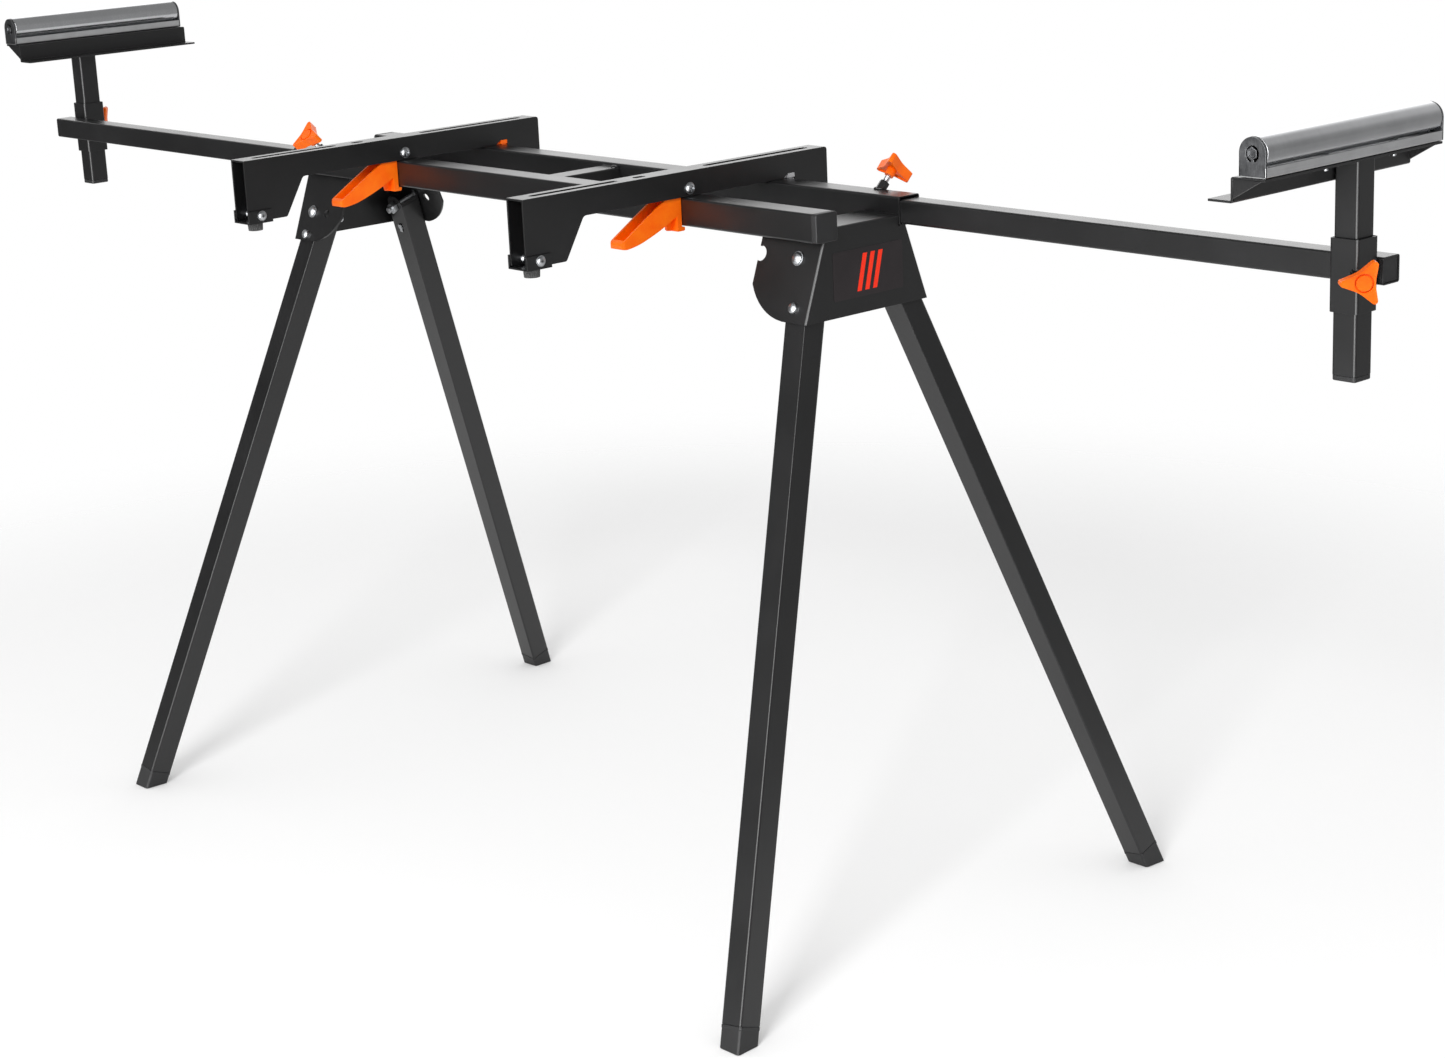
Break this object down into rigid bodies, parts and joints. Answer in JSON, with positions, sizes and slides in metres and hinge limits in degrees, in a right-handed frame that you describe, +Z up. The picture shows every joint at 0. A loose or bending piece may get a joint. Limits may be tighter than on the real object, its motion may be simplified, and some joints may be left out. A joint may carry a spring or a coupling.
{
  "type": "miter saw stand",
  "caption": "Folding miter saw stand: twin rails on splayed folding legs, sliding slotted saw brackets with clamp levers, and sliding arms with height-adjustable roller supports.",
  "frame": {"origin": "on the floor, under the middle of the rails", "axes": "+X along the rails towards the arm of the rear rail, +Y to the back, away from the clamp levers, +Z up"},
  "size_m": [2.1351, 0.661, 0.9243],
  "materials": {
    "black_powder_coat": "satin black powder coat",
    "black_plastic": "moulded black plastic",
    "orange_plastic": "moulded orange plastic",
    "zinc_plate": "bright zinc plate",
    "galvanised_sheet": "galvanised sheet",
    "roller_steel": "satin steel tube",
    "black_rubber": "moulded rubber"
  },
  "bodies": {
    "stand": {"front_rail": "black_powder_coat", "rear_rail": "black_powder_coat", "front_rail_cap": "black_plastic", "rear_rail_cap": "black_plastic", "centre_brace": "black_powder_coat", "left_leg_bracket": "black_powder_coat", "right_leg_bracket": "black_powder_coat", "left_front_pivot_bolt": "zinc_plate", "left_back_pivot_bolt": "zinc_plate", "right_front_pivot_bolt": "zinc_plate", "right_back_pivot_bolt": "zinc_plate"},
    "right_arm": {"right_extension_arm": "black_powder_coat", "right_post_sleeve": "black_powder_coat"},
    "right_post": {"right_roller_post": "black_powder_coat", "right_post_cap": "black_plastic", "right_head_bracket": "black_powder_coat", "right_roller_tray": "galvanised_sheet", "right_roller_axle": "zinc_plate"},
    "right_spinning_roller": {"right_roller": "roller_steel"},
    "right_arm_clamp": {"right_arm_knob": "orange_plastic", "right_arm_knob_screw": "zinc_plate"},
    "right_post_clamp": {"right_post_knob": "orange_plastic", "right_post_knob_screw": "zinc_plate"},
    "right_saw_mount": {"right_saw_bracket": "black_powder_coat", "right_foot_clip": "black_powder_coat", "right_rubber_foot": "black_rubber", "right_rear_hook": "orange_plastic", "right_lever_bolt": "zinc_plate"},
    "right_lever": {"right_clamp_lever": "orange_plastic"},
    "right_front_leg_assembly": {"right_front_leg": "black_powder_coat", "right_front_foot_cap": "black_plastic"},
    "right_front_lock": {"right_front_lock_button": "zinc_plate"},
    "right_back_leg_assembly": {"right_back_leg": "black_powder_coat", "right_back_foot_cap": "black_plastic"},
    "right_back_lock": {"right_back_lock_button": "zinc_plate"},
    "left_arm": {"left_extension_arm": "black_powder_coat", "left_post_sleeve": "black_powder_coat"},
    "left_post": {"left_roller_post": "black_powder_coat", "left_post_cap": "black_plastic", "left_head_bracket": "black_powder_coat", "left_roller_tray": "galvanised_sheet", "left_roller_axle": "zinc_plate"},
    "left_spinning_roller": {"left_roller": "roller_steel"},
    "left_arm_clamp": {"left_arm_knob": "orange_plastic", "left_arm_knob_screw": "zinc_plate"},
    "left_post_clamp": {"left_post_knob": "orange_plastic", "left_post_knob_screw": "zinc_plate"},
    "left_saw_mount": {"left_saw_bracket": "black_powder_coat", "left_foot_clip": "black_powder_coat", "left_rubber_foot": "black_rubber", "left_rear_hook": "orange_plastic", "left_lever_bolt": "zinc_plate"},
    "left_lever": {"left_clamp_lever": "orange_plastic"},
    "left_front_leg_assembly": {"left_front_leg": "black_powder_coat", "left_front_foot_cap": "black_plastic"},
    "left_front_lock": {"left_front_lock_button": "zinc_plate"},
    "left_back_leg_assembly": {"left_back_leg": "black_powder_coat", "left_back_foot_cap": "black_plastic"},
    "left_back_lock": {"left_back_lock_button": "zinc_plate"}
  },
  "joints": [
    {"name": "right_arm_slide", "type": "slide", "parent": "stand", "child": "right_arm", "axis": [1, 0, 0], "range_m": [-0.54, 0]},
    {"name": "right_post_slide", "type": "slide", "parent": "right_arm", "child": "right_post", "axis": [0, 0, 1], "range_m": [-0.045, 0.05]},
    {"name": "right_roller_spin", "type": "hinge", "parent": "right_post", "child": "right_spinning_roller", "pos_m": [1.02355, 0.0095, 0.8933], "axis": [0, 1, 0], "continuous": true},
    {"name": "right_arm_knob_turn", "type": "hinge", "parent": "stand", "child": "right_arm_clamp", "pos_m": [0.4, 0.0775, 0.785], "axis": [0, 0.7071, 0.7071], "continuous": true},
    {"name": "right_post_knob_turn", "type": "hinge", "parent": "right_arm", "child": "right_post_clamp", "pos_m": [1.033, 0.019, 0.7695], "axis": [0.7071, -0.7071, 0], "continuous": true},
    {"name": "right_saw_mount_slide", "type": "slide", "parent": "stand", "child": "right_saw_mount", "axis": [1, 0, 0], "range_m": [-0.19, 0.085]},
    {"name": "right_lever_swing", "type": "hinge", "parent": "right_saw_mount", "child": "right_lever", "pos_m": [0.25, -0.0675, 0.7937], "axis": [1, 0, 0], "range_deg": [-28, 0]},
    {"name": "right_front_leg_fold", "type": "hinge", "parent": "stand", "child": "right_front_leg_assembly", "pos_m": [0.422, -0.04966, 0.72937], "axis": [0, 0.9397, -0.342], "range_deg": [0, 99.8]},
    {"name": "right_front_lock_press", "type": "slide", "parent": "stand", "child": "right_front_lock", "axis": [0, 0.9397, -0.342], "range_m": [0, 0.0022], "stiffness_N_per_m": 800, "springref_m": -0.002},
    {"name": "right_back_leg_fold", "type": "hinge", "parent": "stand", "child": "right_back_leg_assembly", "pos_m": [0.422, 0.04966, 0.72937], "axis": [0, 0.9397, 0.342], "range_deg": [0, 99.8]},
    {"name": "right_back_lock_press", "type": "slide", "parent": "stand", "child": "right_back_lock", "axis": [0, -0.9397, -0.342], "range_m": [0, 0.0022], "stiffness_N_per_m": 800, "springref_m": -0.002},
    {"name": "left_arm_slide", "type": "slide", "parent": "stand", "child": "left_arm", "axis": [-1, 0, 0], "range_m": [-0.54, 0]},
    {"name": "left_post_slide", "type": "slide", "parent": "left_arm", "child": "left_post", "axis": [0, 0, 1], "range_m": [-0.062, 0.033]},
    {"name": "left_roller_spin", "type": "hinge", "parent": "left_post", "child": "left_spinning_roller", "pos_m": [-1.02355, -0.0095, 0.9103], "axis": [0, 1, 0], "continuous": true},
    {"name": "left_arm_knob_turn", "type": "hinge", "parent": "stand", "child": "left_arm_clamp", "pos_m": [-0.39, -0.0775, 0.785], "axis": [0, -0.7071, 0.7071], "continuous": true},
    {"name": "left_post_knob_turn", "type": "hinge", "parent": "left_arm", "child": "left_post_clamp", "pos_m": [-1.033, -0.019, 0.7695], "axis": [-0.7071, 0.7071, 0], "continuous": true},
    {"name": "left_saw_mount_slide", "type": "slide", "parent": "stand", "child": "left_saw_mount", "axis": [1, 0, 0], "range_m": [-0.085, 0.19]},
    {"name": "left_lever_swing", "type": "hinge", "parent": "left_saw_mount", "child": "left_lever", "pos_m": [-0.25, -0.0675, 0.7937], "axis": [1, 0, 0], "range_deg": [-28, 0]},
    {"name": "left_front_leg_fold", "type": "hinge", "parent": "stand", "child": "left_front_leg_assembly", "pos_m": [-0.425, -0.05958, 0.70212], "axis": [0, -0.9397, 0.342], "range_deg": [0, 98.9]},
    {"name": "left_front_lock_press", "type": "slide", "parent": "stand", "child": "left_front_lock", "axis": [0, 0.9397, -0.342], "range_m": [0, 0.0022], "stiffness_N_per_m": 800, "springref_m": -0.002},
    {"name": "left_back_leg_fold", "type": "hinge", "parent": "stand", "child": "left_back_leg_assembly", "pos_m": [-0.425, 0.05958, 0.70212], "axis": [0, -0.9397, -0.342], "range_deg": [0, 98.9]},
    {"name": "left_back_lock_press", "type": "slide", "parent": "stand", "child": "left_back_lock", "axis": [0, -0.9397, -0.342], "range_m": [0, 0.0022], "stiffness_N_per_m": 800, "springref_m": -0.002}
  ]
}
